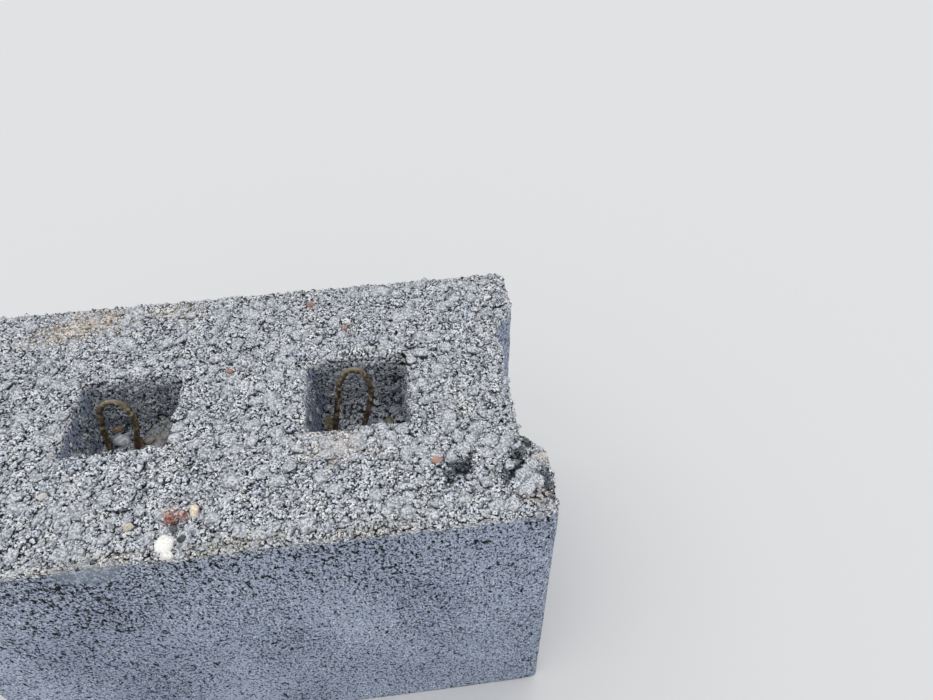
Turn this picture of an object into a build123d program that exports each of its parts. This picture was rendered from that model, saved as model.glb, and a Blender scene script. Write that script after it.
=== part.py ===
"""Precast foundation wall block: one casting of coarse grey concrete, with a mortar groove down each
end, two drafted pockets in the top and a rusty steel lifting loop cast into each pocket.

Millimetres. The origin is the centre of the bottom face. X runs along the block, Y from its front
face to its back face, Z up.
"""
import os
from math import radians, tan

from build123d import *

# Casting
block_length = 880.0
block_width = 500.0
block_height = 580.0
corner_radius = 12.0
top_edge_break = 4.0
bottom_edge_break = 2.5

# Mortar groove, over the full height of each end
groove_mouth = 300.0
groove_depth = 33.0
groove_flank_angle = 45.0
groove_mouth_radius = 10.0
groove_root_radius = 18.0

# Lifting pockets, smaller at the floor so that their cores draw out of the fresh concrete
pocket_spacing = 350.0
pocket_length = 160.0
pocket_width = 145.0
pocket_depth = 95.0
pocket_draft = 12.0
pocket_corner_radius = 11.0
pocket_floor_corner_radius = 7.0
pocket_rim_break = 3.0

# Lifting loops of plain round bar. Their planes lean back from the vertical, in degrees.
bar_diameter = 9.0
loop_lean = 10.0
knee_radius = 75.0
foot_radius = 60.0

# The two loops are bent by hand and differ. Corners are (along the block, up the loop's plane) from
# the point where the bar's left leg leaves the pocket floor. The peak is the corner that the top bend
# rounds off, so it lies far above the bar.
left_loop_clearance = 16.5
left_loop_shoulder = (1.5, 52.0)
left_shoulder_radius = 45.0
left_loop_peak = (23.3, 179.0)
left_peak_radius = 22.0
left_loop_knee = (56.0, 66.0)
left_loop_foot_spacing = 38.0
right_loop_clearance = 17.0
right_loop_shoulder = (19.4, 94.0)
right_shoulder_radius = 36.0
right_loop_peak = (45.8, 142.0)
right_peak_radius = 17.5
right_loop_knee = (71.3, 80.0)
right_loop_foot_spacing = 45.5

# Anchorage of each leg, straight down into the concrete below the pocket floor
foot_bend_depth = 15.0
leg_embedment = 250.0

groove_floor = groove_mouth - 2 * groove_depth / tan(radians(groove_flank_angle))
pocket_floor_length = pocket_length - 2 * pocket_draft
pocket_floor_width = pocket_width - 2 * pocket_draft
pocket_floor_height = block_height - pocket_depth
pocket_centres = (-pocket_spacing / 2, pocket_spacing / 2)
loop_upright = Plane((0, 0, pocket_floor_height), x_dir=(1, 0, 0), z_dir=(0, -1, 0))
loop_plane = loop_upright.rotated((-loop_lean, 0, 0))


def loop_route(pocket_x, clearance, shoulder, shoulder_radius, peak, peak_radius, knee, foot_spacing):
    """Corners of one bent bar in the loop's plane, from end to end, with the radius of each bend."""
    foot = pocket_x - pocket_floor_length / 2 + clearance + bar_diameter / 2
    first_slope = shoulder[0] / shoulder[1]
    second_slope = (knee[0] - foot_spacing) / knee[1]
    first_leg = foot - first_slope * foot_bend_depth
    second_leg = foot + foot_spacing - second_slope * foot_bend_depth
    corners = [
        (first_leg, -leg_embedment),
        (first_leg, -foot_bend_depth),
        (foot + shoulder[0], shoulder[1]),
        (foot + peak[0], peak[1]),
        (foot + knee[0], knee[1]),
        (second_leg, -foot_bend_depth),
        (second_leg, -leg_embedment),
    ]
    bends = [foot_radius, shoulder_radius, peak_radius, knee_radius, foot_radius]
    return corners, bends


# Lifting loop in the left pocket
left_corners, left_bends = loop_route(
    pocket_centres[0],
    left_loop_clearance,
    left_loop_shoulder,
    left_shoulder_radius,
    left_loop_peak,
    left_peak_radius,
    left_loop_knee,
    left_loop_foot_spacing,
)
with BuildPart() as lifting_loop_left:
    with BuildLine(loop_plane) as left_bar:
        FilletPolyline(*left_corners, radius=left_bends)
    with BuildSketch(left_bar.line ^ 0):
        Circle(bar_diameter / 2)
    sweep()

# Lifting loop in the right pocket
right_corners, right_bends = loop_route(
    pocket_centres[1],
    right_loop_clearance,
    right_loop_shoulder,
    right_shoulder_radius,
    right_loop_peak,
    right_peak_radius,
    right_loop_knee,
    right_loop_foot_spacing,
)
with BuildPart() as lifting_loop_right:
    with BuildLine(loop_plane) as right_bar:
        FilletPolyline(*right_corners, radius=right_bends)
    with BuildSketch(right_bar.line ^ 0):
        Circle(bar_diameter / 2)
    sweep()

# Both end grooves in plan
with BuildSketch() as grooves:
    with BuildLine():
        Polyline(
            (block_length / 2, -groove_mouth / 2),
            (block_length / 2 - groove_depth, -groove_floor / 2),
            (block_length / 2 - groove_depth, groove_floor / 2),
            (block_length / 2, groove_mouth / 2),
            close=True,
        )
    make_face()
    mirror(about=Plane.YZ)

# The casting
with BuildPart() as block:
    # Plan outline with its grooves, drawn up to the full height
    with BuildSketch() as plan:
        Rectangle(block_length, block_width)
        add(grooves.sketch, mode=Mode.SUBTRACT)
        outer_corners = plan.vertices().filter_by(lambda v: abs(v.Y) > block_width / 2 - corner_radius)
        mouths = plan.vertices().filter_by(lambda v: abs(abs(v.Y) - groove_mouth / 2) < groove_mouth_radius)
        roots = plan.vertices().filter_by(lambda v: abs(v.X) < block_length / 2 - groove_depth / 2)
        fillet(outer_corners, corner_radius)
        fillet(mouths, groove_mouth_radius)
        fillet(roots, groove_root_radius)
    extrude(amount=block_height)
    chamfer(block.faces().sort_by(Axis.Z)[-1].outer_wire().edges(), top_edge_break)
    chamfer(block.faces().sort_by(Axis.Z)[0].outer_wire().edges(), bottom_edge_break)

    # Two drafted lifting pockets with a slightly broken rim
    for pocket_x in pocket_centres:
        with BuildSketch(Plane((pocket_x, 0, block_height))):
            RectangleRounded(pocket_length, pocket_width, pocket_corner_radius)
        with BuildSketch(Plane((pocket_x, 0, pocket_floor_height))):
            RectangleRounded(pocket_floor_length, pocket_floor_width, pocket_floor_corner_radius)
        loft(ruled=True, mode=Mode.SUBTRACT)
    rims = block.faces().sort_by(Axis.Z)[-1].inner_wires().edges()
    chamfer(rims, pocket_rim_break)

    # The concrete is cast round both bars
    add(lifting_loop_left.part, mode=Mode.SUBTRACT)
    add(lifting_loop_right.part, mode=Mode.SUBTRACT)

block.part.label = "block"
lifting_loop_left.part.label = "lifting_loop_left"
lifting_loop_right.part.label = "lifting_loop_right"

os.makedirs("parts", exist_ok=True)
export_step(block.part, "parts/block.step")
export_step(lifting_loop_left.part, "parts/lifting_loop_left.step")
export_step(lifting_loop_right.part, "parts/lifting_loop_right.step")
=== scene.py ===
import math
import random

import bmesh
import bpy
import numpy as np
from mathutils import Matrix, Vector, noise


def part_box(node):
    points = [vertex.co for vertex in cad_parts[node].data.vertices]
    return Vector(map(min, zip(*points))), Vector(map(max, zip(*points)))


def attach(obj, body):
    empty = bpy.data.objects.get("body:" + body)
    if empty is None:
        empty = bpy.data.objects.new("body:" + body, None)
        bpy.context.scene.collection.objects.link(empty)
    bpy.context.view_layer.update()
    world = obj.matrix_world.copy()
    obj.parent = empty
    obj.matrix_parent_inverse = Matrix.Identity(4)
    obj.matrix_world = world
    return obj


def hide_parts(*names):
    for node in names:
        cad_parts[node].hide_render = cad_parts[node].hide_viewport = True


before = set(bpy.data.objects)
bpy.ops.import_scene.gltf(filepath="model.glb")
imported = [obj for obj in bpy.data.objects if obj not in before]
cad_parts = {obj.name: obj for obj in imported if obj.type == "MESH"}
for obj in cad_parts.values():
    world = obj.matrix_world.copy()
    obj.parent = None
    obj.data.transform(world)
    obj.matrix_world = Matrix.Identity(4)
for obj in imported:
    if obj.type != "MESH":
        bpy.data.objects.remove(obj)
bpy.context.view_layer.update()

# The casting: one block of coarse grey concrete, vibrated in a steel form. Its faces against the form are
# smooth with small air pits, its top is struck off and left open, and its top edges crumble.
block_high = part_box("block")[1]
top = block_high.z
half_width = block_high.y
end_zone = 0.400
groove_lip = 0.150
bottom_edge_break = 0.0025
edge_inset = 0.0012
pocket_centres = (-0.175, 0.175)
pocket_size = (0.160, 0.145)
pocket_depth = 0.095
pocket_draft = 0.012
pocket_corner = (0.011, 0.007)
rim_break = 0.0009
crumbling_depth = 0.035
grid_step = 0.005
pocket_rings = 22
crumbling_rings = 10
crumbling_growth = 1.2
formed_rings = 70
hair = 1e-6

# Its plan, read from the solid just above the broken bottom edge
solid_corners = [v.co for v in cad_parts["block"].data.vertices]
low_corners = [v for v in solid_corners if abs(v.z - bottom_edge_break) < hair]
outline = sorted((v.y, v.x) for v in low_corners if v.x > end_zone)
waist = float(np.interp(0, *zip(*outline)))


def half_length(y):
    """Half the block's length at a place across its width. The end grooves make it shorter."""
    return float(np.interp(y, *zip(*outline)))


def ruled(stops, step):
    """Grid lines through every stop, no further apart than the step."""
    lines = [stops[0]]
    for start, end in zip(stops, stops[1:]):
        count = math.ceil((end - start) / step)
        lines += [start + (end - start) * i / count for i in range(1, count + 1)]
    return lines


pocket_ends = [centre + side * pocket_size[0] / 2 for centre in pocket_centres for side in (-1, 1)]
along = ruled([-waist, *pocket_ends, waist], grid_step)
across = ruled([-half_width, -pocket_size[1] / 2, pocket_size[1] / 2, half_width], grid_step)
columns, rows = len(along) - 1, len(across) - 1
end_columns = [min(range(columns + 1), key=lambda i: abs(along[i] - x)) for x in pocket_ends]
pocket_columns = (end_columns[:2], end_columns[2:])
low_row = min(range(rows + 1), key=lambda j: abs(across[j] + pocket_size[1] / 2))
high_row = rows - low_row

points = []
places = []
edges = []
quads = []


def put(x, y, z, place, edge):
    """A corner of the mesh, the surface it is on and how far it is from that surface's broken edge."""
    points.append((x, y, z))
    places.append(place)
    edges.append(edge)
    return len(points) - 1


def cell(i, j):
    """The four crossings round one cell of the grid."""
    return (i, j), (i + 1, j), (i + 1, j + 1), (i, j + 1)


def band(above, below, outward):
    """Faces between two rings of corners, which point out of the block or into a pocket."""
    for k in range(len(above)):
        n = (k + 1) % len(above)
        start, end = (n, k) if outward else (k, n)
        quads.append([above[start], above[end], below[end], below[start]])


def in_pocket(pocket, i, j, depth):
    """Where a crossing of the grid falls in a pocket's rounded plan. The depth is from 0 to 1."""
    first, last = pocket_columns[pocket]
    u = 2 * (i - first) / (last - first) - 1
    v = 2 * (j - low_row) / (high_row - low_row) - 1
    half_x = pocket_size[0] / 2 - pocket_draft * depth
    half_y = pocket_size[1] / 2 - pocket_draft * depth
    radius = pocket_corner[0] + (pocket_corner[1] - pocket_corner[0]) * depth
    x, y = abs(u) * half_x, abs(v) * half_y
    over_x, over_y = x - half_x + radius, y - half_y + radius
    if over_x > 0 and over_y > 0:
        pull = max(over_x, over_y) / math.hypot(over_x, over_y)
        x, y = half_x - radius + over_x * pull, half_y - radius + over_y * pull
    return pocket_centres[pocket] + math.copysign(x, u), math.copysign(y, v)


# Its top, with a hole over each pocket
top_grid = {}
for i, x in enumerate(along):
    for j, y in enumerate(across):
        pocket = next((p for p, (first, last) in enumerate(pocket_columns) if first <= i <= last), None)
        if pocket is not None and low_row <= j <= high_row:
            first, last = pocket_columns[pocket]
            if not (first < i < last and low_row < j < high_row):
                top_grid[i, j] = put(*in_pocket(pocket, i, j, 0), top - rim_break, "rim", 0.0)
            continue
        share = x / waist
        to_edge = max(0.0, min(half_width - abs(y), (1 - abs(share)) * half_length(y)))
        broken = edge_inset if to_edge < hair else 0.0
        x_in = share * (half_length(y) - broken * (abs(share) > 1 - hair))
        y_in = y - math.copysign(broken, y) * (half_width - abs(y) < hair)
        top_grid[i, j] = put(x_in, y_in, top - broken, "top", to_edge)
for i in range(columns):
    for j in range(rows):
        over_pocket = any(first <= i < last for first, last in pocket_columns)
        if not (over_pocket and low_row <= j < high_row):
            quads.append([top_grid[c] for c in cell(i, j)])

# Its pockets
for pocket, (first, last) in enumerate(pocket_columns):
    rim = [(i, low_row) for i in range(first, last)] + [(last, j) for j in range(low_row, high_row)]
    rim += [(i, high_row) for i in range(last, first, -1)]
    rim += [(first, j) for j in range(high_row, low_row, -1)]
    above = [top_grid[c] for c in rim]
    for k in range(1, pocket_rings + 1):
        down = pocket_depth * (k / pocket_rings)
        below = [put(*in_pocket(pocket, i, j, k / pocket_rings), top - down, "wall", down) for i, j in rim]
        band(above, below, outward=False)
        above = below
    floor_grid = dict(zip(rim, above))
    for i in range(first, last + 1):
        for j in range(low_row, high_row + 1):
            if (i, j) not in floor_grid:
                x, y = in_pocket(pocket, i, j, 1)
                floor_grid[i, j] = put(x, y, top - pocket_depth, "floor", pocket_depth)
    for i in range(first, last):
        for j in range(low_row, high_row):
            quads.append([floor_grid[c] for c in cell(i, j)])

# Its formed faces, all round and below
skirt = [(i, 0) for i in range(columns)] + [(columns, j) for j in range(rows)]
skirt += [(i, rows) for i in range(columns, 0, -1)] + [(0, j) for j in range(rows, 0, -1)]
depths = [((k + 1) / crumbling_rings) ** crumbling_growth for k in range(crumbling_rings)]
heights = [top - crumbling_depth * depth for depth in depths]
heights += [(top - crumbling_depth) * (1 - (k + 1) / formed_rings) for k in range(formed_rings)]
above = [top_grid[c] for c in skirt]
for z in heights:
    below = [put(along[i] / waist * half_length(across[j]), across[j], z, "side", top - z) for i, j in skirt]
    band(above, below, outward=True)
    above = below
quads.append(list(reversed(above)))

casting_mesh = bpy.data.meshes.new("casting")
casting_mesh.from_pydata(points, [], quads)
casting_mesh.update()

# Relief: between its stones the open top lies below the struck level, edges are chipped, and formed faces
# are nearly flat. "skin" is the share of smooth cement skin. A second share is painted shade: it is low in
# the gaps between stones and under ledges in the pockets, and 1 where nothing is shaded.
# Each kind of unevenness is a sum of waves, given by their length and height.
swelling = ((0.240, 0.0008), (0.060, 0.0005))
lumpiness = ((0.016, 0.0016), (0.007, 0.0010))
tearing = ((0.030, 0.6), (0.009, 0.5))
chipping = ((0.017, 0.6), (0.050, 0.7))
chipping_bias = 0.12
chip_depth = 0.0055
chip_reach = 0.006
worn_corner = 0.055
worn_corner_bias = 0.9
skin_start = 0.008
skin_fade = 0.010
arris_wear = ((0.030, 0.003),)
arris_wear_bias = 0.0003
arris_reach = 0.006
torn_lump_share = 0.5
wall_waves = ((0.035, 0.002),)
wall_lump_share = 1.3
wall_smoothing = 0.9
wall_skin_depth = 0.020
wall_skin_bias = 0.12
wall_skin_facing = 0.75
wall_skin_tearing = 1.1
ledge_length = 0.024
ledge_rise = 0.010
ledge_depth = 0.005
ledge_shade = 3.6
ledge_shade_bias = 0.2
ledge_shade_most = 0.92
bed_drop = 0.0040
bed_reach = 0.008
rim_bed_share = 0.4
# Painted shade on the bed between the stones, darker on the pocket floors
floor_painted_lit = 0.17
top_painted_lit = 0.27


def waves(p, kinds):
    """The height of some kinds of waves at a point."""
    return sum(noise.noise(p / length) * height for length, height in kinds)


def share_of(value):
    """A value held between 0 and 1."""
    return min(max(value, 0.0), 1.0)


normals = np.empty(3 * len(points))
casting_mesh.vertex_normals.foreach_get("vector", normals)
surface_points = []
skin_share = []
painted_lit_share = []
for point, normal, place, edge in zip(points, normals.reshape(-1, 3), places, edges):
    p = Vector(point)
    lumps = waves(p, lumpiness)
    torn = waves(p, tearing)
    corner_distance = math.hypot(p.x - block_high.x, p.y + half_width)
    chip = waves(p, chipping) + chipping_bias
    chip += worn_corner_bias * max(0.0, 1 - corner_distance / worn_corner)
    chipped = chip_depth * max(chip, 0.0) * math.exp(-edge / chip_reach)
    if place == "side":
        skin = share_of((edge - skin_start) / skin_fade + torn)
        crown = 1.0
        push = waves(p, swelling) * skin + lumps * (1 - skin) * torn_lump_share - chipped
        if abs(p.x) > end_zone:
            arris = min(abs(abs(p.y) - half_width), abs(abs(p.y) - groove_lip))
            rubbed = max(waves(p, arris_wear) + arris_wear_bias, 0.0)
            push -= rubbed * math.exp(-arris / arris_reach)
    elif place == "wall":
        # The left wall of a pocket, which faces right, kept most of its skin
        skin = share_of(wall_skin_bias + wall_skin_facing * normal[0] + wall_skin_tearing * torn)
        skin *= min(edge / wall_skin_depth, 1.0)
        # Under the ledges of the torn parts, shade is painted darker
        ledge = noise.noise(Vector((p.x / ledge_length, p.y / ledge_length, p.z / ledge_rise)))
        shaded = min(max(-ledge_shade * ledge - ledge_shade_bias, 0.0), ledge_shade_most)
        crown = 1.0 - (1 - skin) * shaded
        push = lumps * (wall_lump_share - wall_smoothing * skin) + waves(p, wall_waves)
        push += (1 - skin) * ledge * ledge_depth
    else:
        skin = 0.0
        crown = floor_painted_lit if place == "floor" else top_painted_lit
        bed = min(edge / bed_reach, 1.0) if place == "top" else rim_bed_share
        push = lumps - bed_drop * bed - chipped * (place != "floor")
    surface_points.append(p + Vector(normal) * push)
    skin_share.append(skin)
    painted_lit_share.append(crown)
casting_mesh.vertices.foreach_set("co", np.array(surface_points).ravel())
casting_mesh.shade_smooth()
casting_mesh.update()
for name, values in (("skin", skin_share), ("crown", painted_lit_share)):
    casting_mesh.attributes.new(name, "FLOAT", "POINT").data.foreach_set("value", values)
casting = bpy.data.objects.new("casting", casting_mesh)
bpy.context.scene.collection.objects.link(casting)


def linear(colour):
    """Linear RGBA of an sRGB hex colour."""
    parts = [int(colour[i : i + 2], 16) / 255 for i in (1, 3, 5)]
    return tuple(c / 12.92 if c <= 0.04045 else ((c + 0.055) / 1.055) ** 2.4 for c in parts) + (1.0,)


def add(tree, kind, inputs=None, stops=(), **settings):
    """A node with its settings. An input is a value, or the node or socket that feeds it."""
    node = tree.nodes.new(kind)
    for name, value in settings.items():
        setattr(node, name, value)
    for key, value in (inputs or {}).items():
        found = (s for s in node.inputs if s.enabled and s.name == key)
        socket = node.inputs[key] if isinstance(key, int) else next(found)
        if isinstance(value, bpy.types.Node):
            value = next(s for s in value.outputs if s.enabled)
        if isinstance(value, bpy.types.NodeSocket):
            tree.links.new(value, socket)
        elif isinstance(value, str) and socket.type == "RGBA":
            socket.default_value = linear(value)
        else:
            socket.default_value = value
    for n, (place, colour) in enumerate(stops):
        if n > 1:
            node.color_ramp.elements.new(place)
        node.color_ramp.elements[n].position = place
        node.color_ramp.elements[n].color = linear(colour)
    return node


# Portland cement concrete, grey and quite matt. Where the form held it, it has a bluish skin with air pits
# of 1 to 5 mm, painted dark as the shade inside them. Elsewhere the sand shows in the cement, and the gaps
# between stones and between grains are painted nearly black, as shade. Real sand goes down to 0.1 mm, but
# here it is drawn 2 to 4 mm wide, as coarse as it needs to show.
grain_size = 0.0036
grain_depth = 0.0020
sand_size = 0.0023
sand_depth = 0.0006
cloud_size = 0.060
mottle_size = 0.0024
mottle_depth = 0.0007
band_size = 0.150
pit_depth = 0.0016
bend_size = 0.0026
bend_pull = 0.0042
worm_size = 0.0070
ragged_size = 0.009
stain_edge_size = 0.014
mixed = {"data_type": "RGBA"}
tinted = {"data_type": "RGBA", "blend_type": "MULTIPLY"}
concrete = bpy.data.materials.new("cast_concrete")
concrete.use_nodes = True
tree = concrete.node_tree
place = add(tree, "ShaderNodeTexCoord").outputs["Object"]
skin = add(tree, "ShaderNodeAttribute", attribute_name="skin").outputs["Fac"]
crown = add(tree, "ShaderNodeAttribute", attribute_name="crown").outputs["Fac"]
tone = add(tree, "ShaderNodeAttribute", attribute_name="tone").outputs["Fac"]

# Open texture: grains and sand, a tone for each stone, clouds, and painted shade on the grains' edges and in
# the gaps
grains = add(tree, "ShaderNodeTexVoronoi", {"Vector": place, "Scale": 1 / grain_size})
sand = add(tree, "ShaderNodeTexNoise", {"Vector": place, "Scale": 1 / sand_size, "Detail": 1.0})
clouds = add(tree, "ShaderNodeTexNoise", {"Vector": place, "Scale": 1 / cloud_size, "Detail": 4.0})
from_grain = grains.outputs["Distance"]
grain_chance = add(tree, "ShaderNodeSeparateColor", {"Color": grains.outputs["Color"]})
grain_stops = [(0.0, "#767a82"), (0.25, "#c8ccd3"), (0.6, "#eff1f4"), (0.85, "#ffffff")]
open_colour = add(tree, "ShaderNodeValToRGB", {"Fac": grain_chance}, stops=grain_stops)
gap_stops = [(0.0, "#141517"), (0.16, "#63666a"), (0.30, "#ffffff")]
gap_shade = add(tree, "ShaderNodeValToRGB", {"Fac": crown}, stops=gap_stops)
# The first ramp paints shade between the grains, on their edges
for factor, stops in (
    (from_grain, [(0.57, "#ffffff"), (0.74, "#303237")]),
    (sand, [(0.36, "#62656b"), (0.45, "#ffffff")]),
    (clouds, [(0.3, "#f3f6fa"), (0.7, "#ffffff")]),
    (tone, [(0.0, "#ffffff"), (0.2, "#fdfeff"), (0.4, "#e9edf3"), (0.6, "#fdfdfd")]),
):
    shade = add(tree, "ShaderNodeValToRGB", {"Fac": factor}, stops=stops)
    open_colour = add(tree, "ShaderNodeMix", {"Factor": 1.0, "A": open_colour, "B": shade}, **tinted)
open_colour = add(tree, "ShaderNodeMix", {"Factor": 1.0, "A": open_colour, "B": gap_shade}, **tinted)

# Some stones have a smooth coat of paste, a little bluer than the sand, that keeps the painted shade of the
# gaps
coat = add(tree, "ShaderNodeMapRange", {"Value": tone, "From Min": 0.66, "From Max": 0.72, "To Max": 0.45})
coat_colour = add(tree, "ShaderNodeMix", {"Factor": 1.0, "A": gap_shade, "B": "#c0c5ce"}, **tinted)
open_colour = add(tree, "ShaderNodeMix", {"Factor": coat, "A": open_colour, "B": coat_colour}, **mixed)
grain_rise = add(tree, "ShaderNodeMath", {0: from_grain, 1: -grain_depth}, operation="MULTIPLY")
open_rise = add(tree, "ShaderNodeMath", {0: sand, 1: sand_depth, 2: grain_rise}, operation="MULTIPLY_ADD")

# Skin: mottled, and darker in bands
upright = add(tree, "ShaderNodeMapping", {"Vector": place, "Scale": (1.0, 1.0, 0.55)})
mottle = add(tree, "ShaderNodeTexNoise", {"Vector": upright, "Scale": 1 / mottle_size, "Detail": 2.0})
mottle_stops = [(0.34, "#808b9f"), (0.44, "#a4afc4"), (0.58, "#b0bbcf"), (0.67, "#e8edf4")]
skin_colour = add(tree, "ShaderNodeValToRGB", {"Fac": mottle}, stops=mottle_stops)
skin_rise = add(tree, "ShaderNodeMath", {0: mottle, 1: mottle_depth}, operation="MULTIPLY")
lain = add(tree, "ShaderNodeMapping", {"Vector": place, "Scale": (1.0, 1.0, 0.8)})
bands = add(tree, "ShaderNodeTexNoise", {"Vector": lain, "Scale": 1 / band_size, "Detail": 6.0})
banding = add(tree, "ShaderNodeValToRGB", {"Fac": bands}, stops=[(0.3, "#ffffff"), (0.7, "#e0e3e8")])
skin_colour = add(tree, "ShaderNodeMix", {"Factor": 1.0, "A": skin_colour, "B": banding}, **tinted)

# It is pierced the most near the top of the long faces, and towards the left. Each pair of places is where
# this begins and where it is in full.
pierced_below = (0.240, 0.030)
pierced_along = (0.38, 0.05)
pierced_across = (0.15, 0.20)
at = add(tree, "ShaderNodeSeparateXYZ", {"Vector": place}).outputs
upper = {"Value": at["Z"], "From Min": top - pierced_below[0], "From Max": top - pierced_below[1]}
leftward = {"Value": at["X"], "From Min": pierced_along[0], "From Max": pierced_along[1], "To Min": 0.2}
outer = add(tree, "ShaderNodeMath", {0: at["Y"]}, operation="ABSOLUTE")
outer = {"Value": outer, "From Min": pierced_across[0], "From Max": pierced_across[1]}
near_top = add(tree, "ShaderNodeMapRange", upper)
for range_inputs in (leftward, outer):
    part = add(tree, "ShaderNodeMapRange", range_inputs)
    near_top = add(tree, "ShaderNodeMath", {0: near_top, 1: part}, operation="MULTIPLY")

# Air pits, round and worm-shaped, on a pattern that is bent so that no two are alike. A kind has the
# spacing of its pits, their radius as a share of that, and how crowded a place is where they begin.
pit_kinds = ((0.0070, 0.20, 1.08), (0.0042, 0.27, 0.93))
bent = add(tree, "ShaderNodeTexNoise", {"Vector": place, "Scale": 1 / bend_size, "Detail": 1.0})
pull = {0: bent.outputs["Color"], 1: (bend_pull,) * 3, 2: place}
pulled = add(tree, "ShaderNodeVectorMath", pull, operation="MULTIPLY_ADD")
drawn = add(tree, "ShaderNodeMapping", {"Vector": pulled, "Scale": (1.12, 1.12, 0.7)})
hole = 0.0
for spacing, size, least in pit_kinds:
    cells = add(tree, "ShaderNodeTexVoronoi", {"Vector": drawn, "Scale": 1 / spacing})
    pit_chance = add(tree, "ShaderNodeSeparateColor", {"Color": cells.outputs["Color"]})
    crowding = add(tree, "ShaderNodeMath", {0: bands, 1: 0.8, 2: pit_chance}, operation="MULTIPLY_ADD")
    crowding = add(tree, "ShaderNodeMath", {0: near_top, 1: 0.20, 2: crowding}, operation="MULTIPLY_ADD")
    pit_here = {"Value": crowding, "From Min": least, "From Max": least + 0.08}
    pit_here = add(tree, "ShaderNodeMapRange", pit_here)
    pit_round = {"Value": cells.outputs["Distance"], "From Min": size + 0.03, "From Max": size - 0.03}
    pit_round = add(tree, "ShaderNodeMapRange", pit_round)
    pit = add(tree, "ShaderNodeMath", {0: pit_here, 1: pit_round}, operation="MULTIPLY")
    hole = add(tree, "ShaderNodeMath", {0: hole, 1: pit}, operation="MAXIMUM")
crooked = add(tree, "ShaderNodeTexNoise", {"Vector": drawn, "Scale": 1 / worm_size, "Detail": 2.0})
crowded = add(tree, "ShaderNodeMath", {0: bands, 1: 0.12, 2: crooked}, operation="MULTIPLY_ADD")
crowded = add(tree, "ShaderNodeMath", {0: near_top, 1: 0.06, 2: crowded}, operation="MULTIPLY_ADD")
worm = add(tree, "ShaderNodeMapRange", {"Value": crowded, "From Min": 0.70, "From Max": 0.74})
hole = add(tree, "ShaderNodeMath", {0: hole, 1: worm}, operation="MAXIMUM")

# Where the paste ran thin, gaps beside the stones just under the skin open as dark crooked strokes. A kind
# has the size of its stones, half the gap as a share of that, the size of the thin places and their limit.
gap_kinds = ((0.0090, 0.08, 0.009, 0.76), (0.0046, 0.135, 0.0044, 0.63))
for stone_size, reach, thin_size, least in gap_kinds:
    buried = {"Vector": drawn, "Scale": 1 / stone_size}
    buried = add(tree, "ShaderNodeTexVoronoi", buried, feature="DISTANCE_TO_EDGE")
    seam = {"Value": buried, "From Min": reach + 0.03, "From Max": reach - 0.03}
    seam = add(tree, "ShaderNodeMapRange", seam)
    thin = add(tree, "ShaderNodeTexNoise", {"Vector": drawn, "Scale": 1 / thin_size, "Detail": 1.0})
    thin = add(tree, "ShaderNodeMath", {0: near_top, 1: 0.06, 2: thin}, operation="MULTIPLY_ADD")
    thin = add(tree, "ShaderNodeMath", {0: bands, 1: 0.12, 2: thin}, operation="MULTIPLY_ADD")
    open_here = {"Value": thin, "From Min": least, "From Max": least + 0.05}
    open_here = add(tree, "ShaderNodeMapRange", open_here)
    stroke = add(tree, "ShaderNodeMath", {0: seam, 1: open_here}, operation="MULTIPLY")
    hole = add(tree, "ShaderNodeMath", {0: hole, 1: stroke}, operation="MAXIMUM")
# Pits and strokes are painted near-black, as the shade inside them
skin_colour = add(tree, "ShaderNodeMix", {"Factor": hole, "A": skin_colour, "B": "#0b0d10"}, **mixed)
skin_rise = add(tree, "ShaderNodeMath", {0: hole, 1: -pit_depth, 2: skin_rise}, operation="MULTIPLY_ADD")

# The skin ends in a ragged line
ragged = add(tree, "ShaderNodeTexNoise", {"Vector": place, "Scale": 1 / ragged_size, "Detail": 3.0})
frayed = add(tree, "ShaderNodeMath", {0: ragged, 1: 1.2, 2: skin}, operation="MULTIPLY_ADD")
covered = add(tree, "ShaderNodeMapRange", {"Value": frayed, "From Min": 1.0, "From Max": 1.2})
colour = add(tree, "ShaderNodeMix", {"Factor": covered, "A": open_colour, "B": skin_colour}, **mixed)
rise = add(tree, "ShaderNodeMix", {"Factor": covered, "A": open_rise, "B": skin_rise})

# Painted shade darkens the pockets, from a little below their rims down
pocket_shade_across = 0.072
pocket_shade_along = 0.255
pocket_shade_fade = 0.010
pocket_shade_below = (0.006, 0.030)
outward = add(tree, "ShaderNodeVectorMath", {0: place}, operation="ABSOLUTE")
outward = add(tree, "ShaderNodeSeparateXYZ", {"Vector": outward}).outputs
pocket_shade = {"Value": outward["Y"], "From Min": pocket_shade_across + pocket_shade_fade, "From Max": pocket_shade_across}
pocket_shade = add(tree, "ShaderNodeMapRange", pocket_shade)
for range_inputs in (
    {"Value": outward["X"], "From Min": pocket_shade_along + pocket_shade_fade, "From Max": pocket_shade_along},
    {"Value": outward["Z"], "From Min": top - pocket_shade_below[0], "From Max": top - pocket_shade_below[1]},
):
    part = add(tree, "ShaderNodeMapRange", range_inputs)
    pocket_shade = add(tree, "ShaderNodeMath", {0: pocket_shade, 1: part}, operation="MULTIPLY")
colour = add(tree, "ShaderNodeMix", {"Factor": pocket_shade, "A": colour, "B": "#d3d5d8"}, **tinted)

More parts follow.
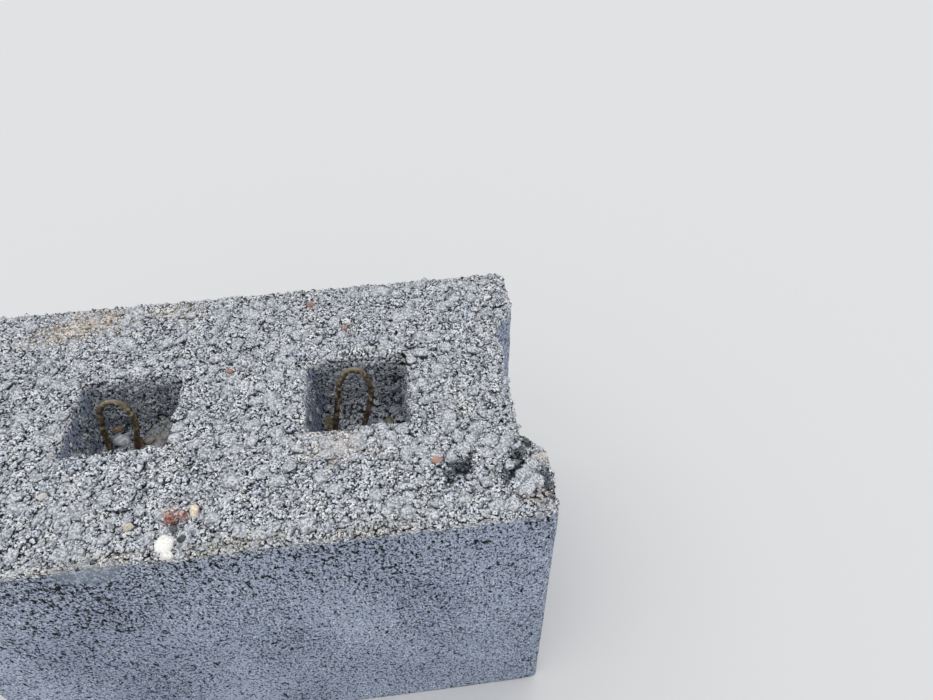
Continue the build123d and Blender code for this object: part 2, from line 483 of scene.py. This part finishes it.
# Marks: dark greasy stains, beige dust lying on the stones, rust and dirt on the pocket floors, and one
# patch of bare paste on the front. Their edges follow the stones, because each stone's tone shifts them.
marks = [
    # place along, across and up, length, width and height, turn in degrees, colour, strength and blending
    (-0.170, -0.250, 0.560, 0.070, 0.030, 0.040, 0, "#a0acbe", 0.6, "MIX"),
    (-0.158, 0.018, top - pocket_depth, 0.050, 0.060, 0.03, 0, "#aaa8a1", 0.85, "MIX"),
    (-0.182, 0.018, top - pocket_depth, 0.022, 0.022, 0.03, 0, "#6b5036", 0.95, "MIX"),
    (-0.140, 0.043, top - pocket_depth, 0.020, 0.010, 0.03, 0, "#c9c4bc", 0.8, "MIX"),
    (0.117, 0.018, top - pocket_depth, 0.020, 0.034, 0.03, 0, "#6a5f3c", 0.8, "MIX"),
    (0.216, 0.012, top - pocket_depth, 0.016, 0.012, 0.03, 0, "#7d8058", 0.7, "MIX"),
    (0.314, -0.166, top, 0.064, 0.042, 0.06, 25, "#7d8386", 1.0, "MULTIPLY"),
    (0.326, -0.156, top, 0.052, 0.018, 0.06, 50, "#a2a7a9", 1.0, "MULTIPLY"),
    (0.309, -0.093, top, 0.026, 0.018, 0.06, 80, "#8c9193", 1.0, "MULTIPLY"),
    (0.403, -0.150, top, 0.086, 0.028, 0.06, 62, "#7d8385", 1.0, "MULTIPLY"),
    (0.386, -0.178, top, 0.052, 0.032, 0.06, 20, "#8d9395", 1.0, "MULTIPLY"),
    (0.430, -0.196, top, 0.052, 0.020, 0.06, 105, "#8f9598", 1.0, "MULTIPLY"),
    (0.432, -0.162, top, 0.026, 0.020, 0.06, 0, "#f0dcc6", 0.30, "MIX"),
    (0.412, -0.222, top, 0.060, 0.034, 0.06, 15, "#f0e4dc", 0.9, "MULTIPLY"),
    (-0.285, 0.206, top, 0.170, 0.070, 0.06, 15, "#dcc096", 0.28, "MIX"),
    (-0.125, 0.222, top, 0.100, 0.050, 0.06, 0, "#dccdb0", 0.18, "MIX"),
    (0.150, -0.100, top, 0.110, 0.075, 0.06, 20, "#e4d2c0", 0.22, "MIX"),
    (-0.155, -0.244, top, 0.160, 0.026, 0.02, 5, "#f8f3ea", 1.0, "MULTIPLY"),
    (0.020, -0.241, top, 0.130, 0.028, 0.02, 5, "#f7f1e4", 1.0, "MULTIPLY"),
    (0.200, -0.243, top, 0.150, 0.024, 0.02, 5, "#f8f4ec", 1.0, "MULTIPLY"),
]
stain_unevenness = 2.0
stain_edge = (2.45, 2.05)
uneven = {"Vector": place, "Scale": 1 / stain_edge_size, "Detail": 4.0, "Roughness": 0.7}
uneven = add(tree, "ShaderNodeTexNoise", uneven)
uneven = add(tree, "ShaderNodeMath", {0: uneven, 1: stain_unevenness, 2: tone}, operation="MULTIPLY_ADD")
for x, y, z, length, width, height, angle, shade, strength, blending in marks:
    turn = (0.0, 0.0, math.radians(angle))
    extent = (length / 2, width / 2, height / 2)
    centred = {"Vector": place, "Location": (x, y, z), "Rotation": turn, "Scale": extent}
    centred = add(tree, "ShaderNodeMapping", centred, vector_type="TEXTURE")
    away = add(tree, "ShaderNodeVectorMath", {0: centred}, operation="LENGTH")
    wavy = add(tree, "ShaderNodeMath", {0: uneven, 1: away.outputs["Value"]})
    marked = {"Value": wavy, "From Min": stain_edge[0], "From Max": stain_edge[1], "To Max": strength}
    marked = add(tree, "ShaderNodeMapRange", marked)
    marking = {"Factor": marked, "A": colour, "B": shade}
    colour = add(tree, "ShaderNodeMix", marking, data_type="RGBA", blend_type=blending)
relief = add(tree, "ShaderNodeBump", {"Height": rise, "Distance": 1.0, "Strength": 1.0})
surface = tree.nodes["Principled BSDF"]
surface.inputs["Roughness"].default_value = 0.92
surface.inputs["Specular IOR Level"].default_value = 0.25
tree.links.new(colour.outputs[2], surface.inputs["Base Color"])
tree.links.new(relief.outputs["Normal"], surface.inputs["Normal"])

casting_mesh.materials.append(concrete)
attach(casting, "root")
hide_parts("block")

# Aggregate in the open top: gravel up to about 35 mm long, coated with cement paste and closely packed,
# with smaller stones in the gaps. It is strewn over the casting in four fields.
shape_count = 8
stone_flats = (6, 0.66, 0.92)
stone_bulge = 0.25
stone_bulge_size = 1 / 1.2
stone_random = random.Random(41)


def flat_sides(count, least, most):
    """Planes that wear a stone of radius 1: the way each one faces, and its distance from the centre."""
    flats = []
    for _ in range(count):
        facing = Vector([stone_random.gauss(0, 1) for _ in range(3)]).normalized()
        flats.append((facing, stone_random.uniform(least, most)))
    return flats


def worn(corner, flats):
    """A corner of a stone, pressed onto the planes that it lies beyond."""
    for facing, distance in flats:
        corner = corner - facing * max(corner.dot(facing) - distance, 0.0)
    return corner


def stone_shapes(name, cuts):
    """A few differing stones of radius 1 to pick from: rounded cubes, worn by planes and roughened."""
    group = bpy.data.collections.new(name)
    for k in range(shape_count):
        ball = bmesh.new()
        if cuts:
            bmesh.ops.create_cube(ball, size=1)
            bmesh.ops.subdivide_edges(ball, edges=ball.edges[:], cuts=cuts, use_grid_fill=True)
        else:
            bmesh.ops.create_icosphere(ball, subdivisions=1, radius=1)
        flats = flat_sides(*stone_flats)
        offset = Vector([stone_random.uniform(0, 50) for _ in range(3)])
        for v in ball.verts:
            v.co = worn(v.co.normalized(), flats)
            v.co *= 1 + stone_bulge * noise.noise(v.co / stone_bulge_size + offset)
        mesh = bpy.data.meshes.new(f"{name}_{k}")
        ball.to_mesh(mesh)
        ball.free()
        mesh.shade_smooth()
        # Painted shade: a stone's lower side gets a low share, so it is painted darker
        painted_lit_values = [v.co.z for v in mesh.vertices]
        mesh.attributes.new("crown", "FLOAT", "POINT").data.foreach_set("value", painted_lit_values)
        group.objects.link(bpy.data.objects.new(mesh.name, mesh))
    return group


gravel = stone_shapes("gravel", 2)
chippings = stone_shapes("chippings", 1)
grit = stone_shapes("grit", 0)

# How the stones are strewn: points scattered over a surface, more thinly where it is bare, and on each a
# stone of a random shape, size, turn and tone, sunk into its bed. Shade is painted on each stone: darker on
# its lower side and close to the bed.
tries_per_place = 5.0
bare_patch_size = 0.070
bare_limits = (0.35, 0.47)
stone_tilt = 0.35
stone_stretch = (0.8, 1.3)
bed_shade_reach = 0.0022
bed_shade = 0.5
strewing = bpy.data.node_groups.new("strewn_stones", "GeometryNodeTree")
for name, kind in (
    ("Surface", "Geometry"),
    ("Bed", "Object"),
    ("Spacing", "Float"),
    ("Least radius", "Float"),
    ("Most radius", "Float"),
    ("Least proud", "Float"),
    ("Most proud", "Float"),
    ("Flatness", "Float"),
    ("Bareness", "Float"),
    ("Least crown", "Float"),
    ("Least tone", "Float"),
    ("Seed", "Int"),
    ("Shapes", "Collection"),
    ("Finish", "Material"),
):
    strewing.interface.new_socket(name, in_out="INPUT", socket_type="NodeSocket" + kind)
strewing.interface.new_socket("Stones", in_out="OUTPUT", socket_type="NodeSocketGeometry")
given = add(strewing, "NodeGroupInput").outputs
area = add(strewing, "ShaderNodeMath", {0: given["Spacing"], 1: given["Spacing"]}, operation="MULTIPLY")
crowd = add(strewing, "ShaderNodeMath", {0: tries_per_place, 1: area}, operation="DIVIDE")
bare_patches = add(strewing, "ShaderNodeTexNoise", {"Scale": 1 / bare_patch_size, "Detail": 1.0})
sparse = {"Value": bare_patches, "From Min": bare_limits[0], "From Max": bare_limits[1]}
sparse = add(strewing, "ShaderNodeMapRange", sparse)
kept = {"Value": given["Bareness"], "To Min": 1.0, "To Max": sparse}
kept = add(strewing, "ShaderNodeMapRange", kept)
spread = {
    "Mesh": given["Surface"],
    "Distance Min": given["Spacing"],
    "Density Max": crowd,
    "Density Factor": kept,
    "Seed": given["Seed"],
}
spread = add(strewing, "GeometryNodeDistributePointsOnFaces", spread, distribute_method="POISSON")
radius = {"Min": given["Least radius"], "Max": given["Most radius"], "Seed": given["Seed"]}
radius = add(strewing, "FunctionNodeRandomValue", radius)
proud = {"Min": given["Least proud"], "Max": given["Most proud"], "Seed": 5}
proud = add(strewing, "FunctionNodeRandomValue", proud)
height = add(strewing, "ShaderNodeMath", {0: radius, 1: given["Flatness"]}, operation="MULTIPLY")
lift = add(strewing, "ShaderNodeMath", {0: proud, 1: height}, operation="SUBTRACT")
lifted = {0: spread.outputs["Normal"], "Scale": lift}
lifted = add(strewing, "ShaderNodeVectorMath", lifted, operation="SCALE")
laid = add(strewing, "GeometryNodeSetPosition", {"Geometry": spread.outputs["Points"], "Offset": lifted})
own_tone = add(strewing, "FunctionNodeRandomValue", {"Min": given["Least tone"], "Seed": 9})
toned = add(
    strewing,
    "GeometryNodeStoreNamedAttribute",
    {"Geometry": laid, "Name": "tone", "Value": own_tone},
    data_type="FLOAT",
    domain="POINT",
)
most_tilt = Vector((stone_tilt, stone_tilt, math.pi))
tilt = {"Min": -most_tilt, "Max": most_tilt, "Seed": 3}
tilt = add(strewing, "FunctionNodeRandomValue", tilt, data_type="FLOAT_VECTOR")
tilt = add(strewing, "FunctionNodeEulerToRotation", {0: tilt})
turned = {"Rotation": spread.outputs["Rotation"], "Rotate By": tilt}
turned = add(strewing, "FunctionNodeRotateRotation", turned, rotation_space="LOCAL")
stretch = {"Min": stone_stretch[0], "Max": stone_stretch[1], "Seed": 7}
stretch = add(strewing, "FunctionNodeRandomValue", stretch)
length = add(strewing, "ShaderNodeMath", {0: radius, 1: stretch}, operation="MULTIPLY")
size = add(strewing, "ShaderNodeCombineXYZ", {"X": length, "Y": radius, "Z": height})
shapes = {"Collection": given["Shapes"], "Separate Children": True}
shapes = add(strewing, "GeometryNodeCollectionInfo", shapes)
stones = {"Points": toned, "Instance": shapes, "Pick Instance": True, "Rotation": turned, "Scale": size}
stones = add(strewing, "GeometryNodeInstanceOnPoints", stones)
real = add(strewing, "GeometryNodeRealizeInstances", {"Geometry": stones})
bed = add(strewing, "GeometryNodeObjectInfo", {"Object": given["Bed"]})
above_bed = add(strewing, "GeometryNodeProximity", {0: bed.outputs["Geometry"]}, target_element="FACES")
clear = {"Value": above_bed.outputs["Distance"], "From Max": bed_shade_reach, "To Min": bed_shade}
clear = add(strewing, "ShaderNodeMapRange", clear)
lit = add(strewing, "GeometryNodeInputNamedAttribute", {"Name": "crown"}, data_type="FLOAT")
lit = add(strewing, "ShaderNodeMath", {0: lit, 1: given["Least crown"]}, operation="MAXIMUM")
lit = add(strewing, "ShaderNodeMath", {0: lit, 1: clear}, operation="MULTIPLY")
shade_painted = add(
    strewing,
    "GeometryNodeStoreNamedAttribute",
    {"Geometry": real, "Name": "crown", "Value": lit},
    data_type="FLOAT",
    domain="POINT",
)
coated = add(strewing, "GeometryNodeSetMaterial", {"Geometry": shade_painted, "Material": given["Finish"]})
add(strewing, "NodeGroupOutput", {"Stones": coated})
strewing_inputs = {i.name: i.identifier for i in strewing.interface.items_tree if i.in_out == "INPUT"}

casting_faces = [
    (
        list(face.vertices),
        {places[i] for i in face.vertices},
        min(edges[i] for i in face.vertices),
        face.center.copy(),
    )
    for face in casting_mesh.polygons
    if len(face.vertices) == 4
]


def sized(spacing, radii, proud, flatness, bareness, shapes, least_painted_lit=-1.0, least_tone=0.0):
    """The strewing's inputs for stones of one size."""
    return {
        "Spacing": spacing,
        "Least radius": radii[0],
        "Most radius": radii[1],
        "Least proud": proud[0],
        "Most proud": proud[1],
        "Flatness": flatness,
        "Bareness": bareness,
        "Least crown": least_painted_lit,
        "Least tone": least_tone,
        "Shapes": shapes,
    }


def strewn(name, wanted, sizes, seed):
    """Stones over the casting's faces that are wanted, as one piece. Each size keeps its own distance from
    the broken edges."""
    joined = bmesh.new()
    for k, (least_edge, inputs) in enumerate(sizes):
        inner = [(corners, on, edge, at) for corners, on, edge, at in casting_faces if edge >= least_edge]
        faces = [corners for corners, on, edge, at in inner if wanted(on, edge, at)]
        used = sorted({i for face in faces for i in face})
        number = {old: new for new, old in enumerate(used)}
        patch = bpy.data.meshes.new(name)
        patch.from_pydata([surface_points[i] for i in used], [], [[number[i] for i in f] for f in faces])
        holder = bpy.data.objects.new(name, patch)
        bpy.context.scene.collection.objects.link(holder)
        modifier = holder.modifiers.new("strewing", "NODES")
        modifier.node_group = strewing
        for key, value in {**inputs, "Seed": seed + k, "Bed": casting, "Finish": concrete}.items():
            modifier[strewing_inputs[key]] = value
        shown = holder.evaluated_get(bpy.context.evaluated_depsgraph_get())
        stones = bpy.data.meshes.new_from_object(shown)
        bpy.data.objects.remove(holder)
        joined.from_mesh(stones)
    mesh = bpy.data.meshes.new(name)
    joined.to_mesh(mesh)
    joined.free()
    mesh.materials.append(concrete)
    mesh.shade_smooth()
    piece = bpy.data.objects.new(name, mesh)
    bpy.context.scene.collection.objects.link(piece)
    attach(piece, "root")


large = sized(0.0185, (0.0090, 0.0145), (0.0052, 0.0084), 0.65, 1.0, gravel, 0.08, 0.35)
medium = sized(0.0090, (0.0045, 0.0078), (0.0020, 0.0052), 0.75, 0.0, chippings, 0.08)
small = sized(0.0052, (0.0026, 0.0040), (0.0010, 0.0036), 0.85, 0.0, grit, 0.08)
field_count = 4
field_length = 2 * block_high.x / field_count
for k in range(field_count):
    west = -block_high.x + k * field_length
    strewn(
        f"top_stones_{k + 1}",
        lambda on, edge, at: on <= {"top", "rim"} and west <= at.x < west + field_length,
        [(0.012, large), (0.004, medium), (0.002, small)],
        10 * k,
    )

# Stones in the pockets: their walls are rough concrete, torn where the cores were drawn, and loose bits of
# gravel lie on their floors. The left wall of each is mostly smooth and has few stones.
wall_gravel = sized(0.0220, (0.0070, 0.0105), (0.0020, 0.0045), 0.6, 1.0, gravel, 0.25)
wall_stones = sized(0.0092, (0.0042, 0.0075), (0.0008, 0.0034), 0.6, 1.0, chippings, 0.25)
wall_grit = sized(0.0056, (0.0024, 0.0038), (0.0003, 0.0018), 0.7, 0.6, grit, 0.25)
floor_gravel = sized(0.0170, (0.0080, 0.0125), (0.0040, 0.0085), 0.75, 0.5, gravel)
floor_stones = sized(0.0088, (0.0046, 0.0076), (0.0016, 0.0050), 0.8, 0.0, chippings)
left_wall_reach = -0.060
skin_patch_size = 0.030
skin_patch_least = -0.05


def smooth_wall(at):
    """Whether a place in a pocket is on its left wall and in one of the patches that kept their skin."""
    along_pocket = at.x - pocket_centres[int(at.x > 0)]
    return along_pocket < left_wall_reach and noise.noise(at / skin_patch_size) > skin_patch_least


for p, side in enumerate(("left", "right")):
    strewn(
        f"{side}_pocket_wall_stones",
        lambda on, edge, at: on <= {"wall", "rim"} and (at.x > 0) == bool(p) and not smooth_wall(at),
        [(0.016, wall_gravel), (0.004, wall_stones), (0.0, wall_grit)],
        50 + 10 * p,
    )
    strewn(
        f"{side}_pocket_floor_stones",
        lambda on, edge, at: on <= {"floor"} and (at.x > 0) == bool(p),
        [(0.0, floor_gravel), (0.0, floor_stones)],
        70 + 10 * p,
    )

# Crumbling arris: the edge between the struck top and the formed faces was knocked about when the form came
# off, so stones that lost their skin stand out along it, in a ragged band up to about 20 mm deep.
arris_band = 0.008
arris_raggedness = 0.014
ragged_length = 0.030
arris_chippings = sized(0.0095, (0.0045, 0.0080), (0.0002, 0.0024), 0.6, 0.5, chippings, 0.5)
arris_grit = sized(0.0056, (0.0024, 0.0038), (0.0002, 0.0014), 0.7, 0.5, grit, 0.5)
strewn(
    "arris_stones",
    lambda on, edge, at: "side" in on
    and edge < arris_band + arris_raggedness * noise.noise(at / ragged_length),
    [(0.0, arris_chippings), (0.0, arris_grit)],
    90,
)

# Odd pebbles and lumps among the gravel: quartz, brick and slate that came with it. They are clean of
# cement, so each shows its own colour.
pebble_grain_size = 0.002
pebble_grain_depth = 0.0003
colour_patch_size = 0.003
colour_patch_edge = 3.5
colour_patch_share = 0.4
pebble_flats = (5, 0.70, 0.95)
pebble_bulges = ((1.4, 0.22), (4.0, 0.07))
pebble_material = bpy.data.materials.new("bare_pebbles")
pebble_material.use_nodes = True
tree = pebble_material.node_tree
place = add(tree, "ShaderNodeTexCoord").outputs["Object"]
own_colour = add(tree, "ShaderNodeAttribute", attribute_name="stone_colour").outputs["Color"]
grain = add(tree, "ShaderNodeTexNoise", {"Vector": place, "Scale": 1 / pebble_grain_size, "Detail": 3.0})
shading = add(tree, "ShaderNodeValToRGB", {"Fac": grain}, stops=[(0.35, "#dddbd9"), (0.50, "#ffffff")])
colour = add(tree, "ShaderNodeMix", {"Factor": 1.0, "A": own_colour, "B": shading}, **tinted)
surface = tree.nodes["Principled BSDF"]
surface.inputs["Roughness"].default_value = 0.7
pebble_relief = {"Height": grain, "Distance": pebble_grain_depth, "Strength": 1.0}
pebble_relief = add(tree, "ShaderNodeBump", pebble_relief)
tree.links.new(colour.outputs[2], surface.inputs["Base Color"])
tree.links.new(pebble_relief.outputs["Normal"], surface.inputs["Normal"])

floor_level = top - pocket_depth
standing_out = 0.0050
pebbles = [
    # place along, across and up, length, width and height, turn in degrees, and two colours in patches
    (-0.071, -0.231, top, 0.027, 0.026, 0.018, 20, "#ffffff", "#fbfaf4"),
    (-0.066, -0.247, top - 0.002, 0.018, 0.013, 0.011, 5, "#fbfaf6", "#deddd6"),
    (-0.040, -0.187, top, 0.013, 0.020, 0.012, 10, "#f6ecd9", "#e3cdb3"),
    (-0.071, -0.195, top, 0.017, 0.013, 0.012, 35, "#6d3a33", "#b98d84"),
    (-0.058, -0.190, top, 0.018, 0.011, 0.011, 20, "#7a463d", "#dcc9c3"),
    (-0.077, -0.186, top, 0.011, 0.008, 0.010, 0, "#e6dad5", "#94655b"),
    (-0.064, -0.202, top, 0.010, 0.008, 0.009, 0, "#55332e", "#a67b72"),
    (-0.067, -0.183, top, 0.008, 0.007, 0.008, 50, "#a9766b", "#efe6e2"),
    (-0.050, -0.197, top, 0.008, 0.006, 0.008, 0, "#8a5148", "#c9aca4"),
    (-0.049, -0.228, top, 0.014, 0.012, 0.010, 0, "#37393b", "#54575b"),
    (-0.063, -0.211, top, 0.011, 0.010, 0.009, 0, "#50545a", "#6b7077"),
    (-0.248, -0.138, top, 0.012, 0.010, 0.009, 40, "#e0ded9", "#cac8c3"),
    (-0.122, -0.200, top, 0.014, 0.011, 0.010, 10, "#dcd5c6", "#c9c0ae"),
    (0.097, 0.208, top, 0.014, 0.011, 0.009, 15, "#b98d80", "#8f6a60"),
    (0.157, 0.141, top, 0.010, 0.008, 0.008, 70, "#c09a8e", "#9d857c"),
    (-0.023, 0.064, top, 0.010, 0.009, 0.008, 40, "#b8836f", "#93736a"),
    (0.285, -0.148, top, 0.015, 0.011, 0.009, 5, "#c4917f", "#a98e84"),
    (-0.221, 0.044, floor_level + 0.009, 0.017, 0.010, 0.010, 20, "#a08670", "#6e5542"),
    (-0.212, 0.026, floor_level + 0.006, 0.032, 0.026, 0.022, 0, "#dde1e6", "#a9b0b8"),
]
pebble_shapes = bmesh.new()
colour_layer = pebble_shapes.verts.layers.float_color.new("stone_colour")
for x, y, level, length, width, height, angle, shade, patch in pebbles:
    shape = bmesh.new()
    bmesh.ops.create_icosphere(shape, subdivisions=3, radius=1)
    offset = Vector([stone_random.uniform(0, 50) for _ in range(3)])
    flats = flat_sides(*pebble_flats)
    turn = Matrix.Rotation(math.radians(angle), 3, "Z")
    for v in shape.verts:
        v.co = worn(v.co, flats)
        v.co *= 1 + sum(height * noise.noise(v.co * rate + offset) for rate, height in pebble_bulges)
        v.co = turn @ Vector((v.co.x * length / 2, v.co.y * width / 2, v.co.z * height / 2))
        v.co += Vector((x, y, level + standing_out - height / 2))
    at = {v: pebble_shapes.verts.new(v.co) for v in shape.verts}
    for v in at.values():
        share = share_of(colour_patch_edge * noise.noise(v.co / colour_patch_size) + colour_patch_share)
        v[colour_layer] = Vector(linear(shade)).lerp(Vector(linear(patch)), share)
    for face in shape.faces:
        pebble_shapes.faces.new([at[v] for v in face.verts])
    shape.free()
pebble_mesh = bpy.data.meshes.new("odd_pebbles")
pebble_shapes.to_mesh(pebble_mesh)
pebble_shapes.free()
pebble_mesh.materials.append(pebble_material)
pebble_mesh.shade_smooth()
odd_pebbles = bpy.data.objects.new("odd_pebbles", pebble_mesh)
bpy.context.scene.collection.objects.link(odd_pebbles)
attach(odd_pebbles, "root")

# Lifting loops: plain hot-rolled bar, 9 mm thick, bent by hand and rusted all over. The rust is rough and
# matt, darker in its pits and redder near the wet pocket floor. Its upward faces are painted tan, for the
# dust lying on them and as a painted highlight.
rust_patch_size = 0.007
rust_scale_size = 0.0012
rust_depth = 0.0012
wet_above_floor = 0.045
soaked_above_floor = 0.002
rust = bpy.data.materials.new("rusty_plain_bar")
rust.use_nodes = True
tree = rust.node_tree
place = add(tree, "ShaderNodeTexCoord").outputs["Object"]
patches = add(tree, "ShaderNodeTexNoise", {"Vector": place, "Scale": 1 / rust_patch_size, "Detail": 4.0})
scale_grain = add(tree, "ShaderNodeTexNoise", {"Vector": place, "Scale": 1 / rust_scale_size, "Detail": 3.0})
rust_stops = [(0.36, "#1e1710"), (0.46, "#453a29"), (0.56, "#6e6148"), (0.66, "#b3a487")]
rust_colour = add(tree, "ShaderNodeValToRGB", {"Fac": patches}, stops=rust_stops)
grainy = add(tree, "ShaderNodeValToRGB", {"Fac": scale_grain}, stops=[(0.38, "#857d78"), (0.55, "#ffffff")])
rust_colour = add(tree, "ShaderNodeMix", {"Factor": 1.0, "A": rust_colour, "B": grainy}, **tinted)
height = add(tree, "ShaderNodeSeparateXYZ", {"Vector": place}).outputs["Z"]
wet = {
    "Value": height,
    "From Min": floor_level + wet_above_floor,
    "From Max": floor_level + soaked_above_floor,
    "To Max": 0.85,
}
wet = add(tree, "ShaderNodeMapRange", wet)
rust_colour = add(tree, "ShaderNodeMix", {"Factor": wet, "A": rust_colour, "B": "#4c2c1e"}, **mixed)
# Upward faces: dust, and a painted highlight
facing = add(tree, "ShaderNodeNewGeometry").outputs["Normal"]
facing = add(tree, "ShaderNodeSeparateXYZ", {"Vector": facing}).outputs["Z"]
dust_and_highlight = {"Value": facing, "From Min": 0.3, "From Max": 1.0, "To Max": 0.45}
dust_and_highlight = add(tree, "ShaderNodeMapRange", dust_and_highlight)
rust_colour = add(tree, "ShaderNodeMix", {"Factor": dust_and_highlight, "A": rust_colour, "B": "#a69c88"}, **mixed)
scaly = add(tree, "ShaderNodeMath", {0: scale_grain, 1: 0.4, 2: patches}, operation="MULTIPLY_ADD")
rust_relief = add(tree, "ShaderNodeBump", {"Height": scaly, "Distance": rust_depth, "Strength": 1.0})
surface = tree.nodes["Principled BSDF"]
surface.inputs["Roughness"].default_value = 0.6
tree.links.new(rust_colour.outputs[2], surface.inputs["Base Color"])
tree.links.new(rust_relief.outputs["Normal"], surface.inputs["Normal"])
for name in ("lifting_loop_left", "lifting_loop_right"):
    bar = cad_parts[name].data
    bar.materials.clear()
    bar.materials.append(rust)

# Setting: a pale floor, and an even overcast light that is stronger from above than from the sides. The
# camera sees the sky as plain white.
floor_reach = 6
floor_mesh = bpy.data.meshes.new("floor")
floor_corners = [(x * floor_reach, y * floor_reach, 0) for x, y in ((-1, -1), (1, -1), (1, 1), (-1, 1))]
floor_mesh.from_pydata(floor_corners, [], [(0, 1, 2, 3)])
floor = bpy.data.objects.new("floor", floor_mesh)
bpy.context.scene.collection.objects.link(floor)
pale = bpy.data.materials.new("pale_floor")
pale.use_nodes = True
surface = pale.node_tree.nodes["Principled BSDF"]
surface.inputs["Base Color"].default_value = linear("#d8d9da")
surface.inputs["Roughness"].default_value = 1.0
floor_mesh.materials.append(pale)

light_at_horizon = 0.43
light_overhead = 1.42
world = bpy.data.worlds.new("overcast")
world.use_nodes = True
sky = world.node_tree
sky.nodes.clear()
direction = add(sky, "ShaderNodeTexCoord").outputs["Generated"]
upward = add(sky, "ShaderNodeSeparateXYZ", {"Vector": direction}).outputs["Z"]
brightness = {"Value": upward, "To Min": light_at_horizon, "To Max": light_overhead}
brightness = add(sky, "ShaderNodeMapRange", brightness)
light = add(sky, "ShaderNodeBackground", {"Color": "#ffffff", "Strength": brightness})
white = add(sky, "ShaderNodeBackground", {"Color": "#ffffff", "Strength": 1.0})
path = add(sky, "ShaderNodeLightPath").outputs
seen = add(sky, "ShaderNodeMath", {0: path["Is Camera Ray"], 1: path["Is Glossy Ray"]}, operation="MAXIMUM")
seen = add(sky, "ShaderNodeMath", {0: seen, 1: path["Is Transmission Ray"]}, operation="MAXIMUM")
shown = add(sky, "ShaderNodeMixShader", {0: seen, 1: light, 2: white})
add(sky, "ShaderNodeOutputWorld", {"Surface": shown})
bpy.context.scene.world = world
bpy.context.scene.view_settings.view_transform = "Standard"

# The camera stands where the photograph was taken, above the front face and right of the middle, and looks
# down at the block by 45 degrees.
camera_place = Vector((0.2695, -0.7254, 1.3736))
camera_pitch, camera_yaw, camera_roll = (math.radians(a) for a in (45.07, 6.00, -1.29))
camera_data = bpy.data.cameras.new("camera")
camera_data.sensor_width = 36
camera_data.lens = 26.8
camera = bpy.data.objects.new("camera", camera_data)
bpy.context.scene.collection.objects.link(camera)
camera.matrix_world = (
    Matrix.Translation(camera_place)
    @ Matrix.Rotation(-camera_yaw, 4, "Z")
    @ Matrix.Rotation(math.pi / 2 - camera_pitch, 4, "X")
    @ Matrix.Rotation(camera_roll, 4, "Z")
)
bpy.context.scene.camera = camera
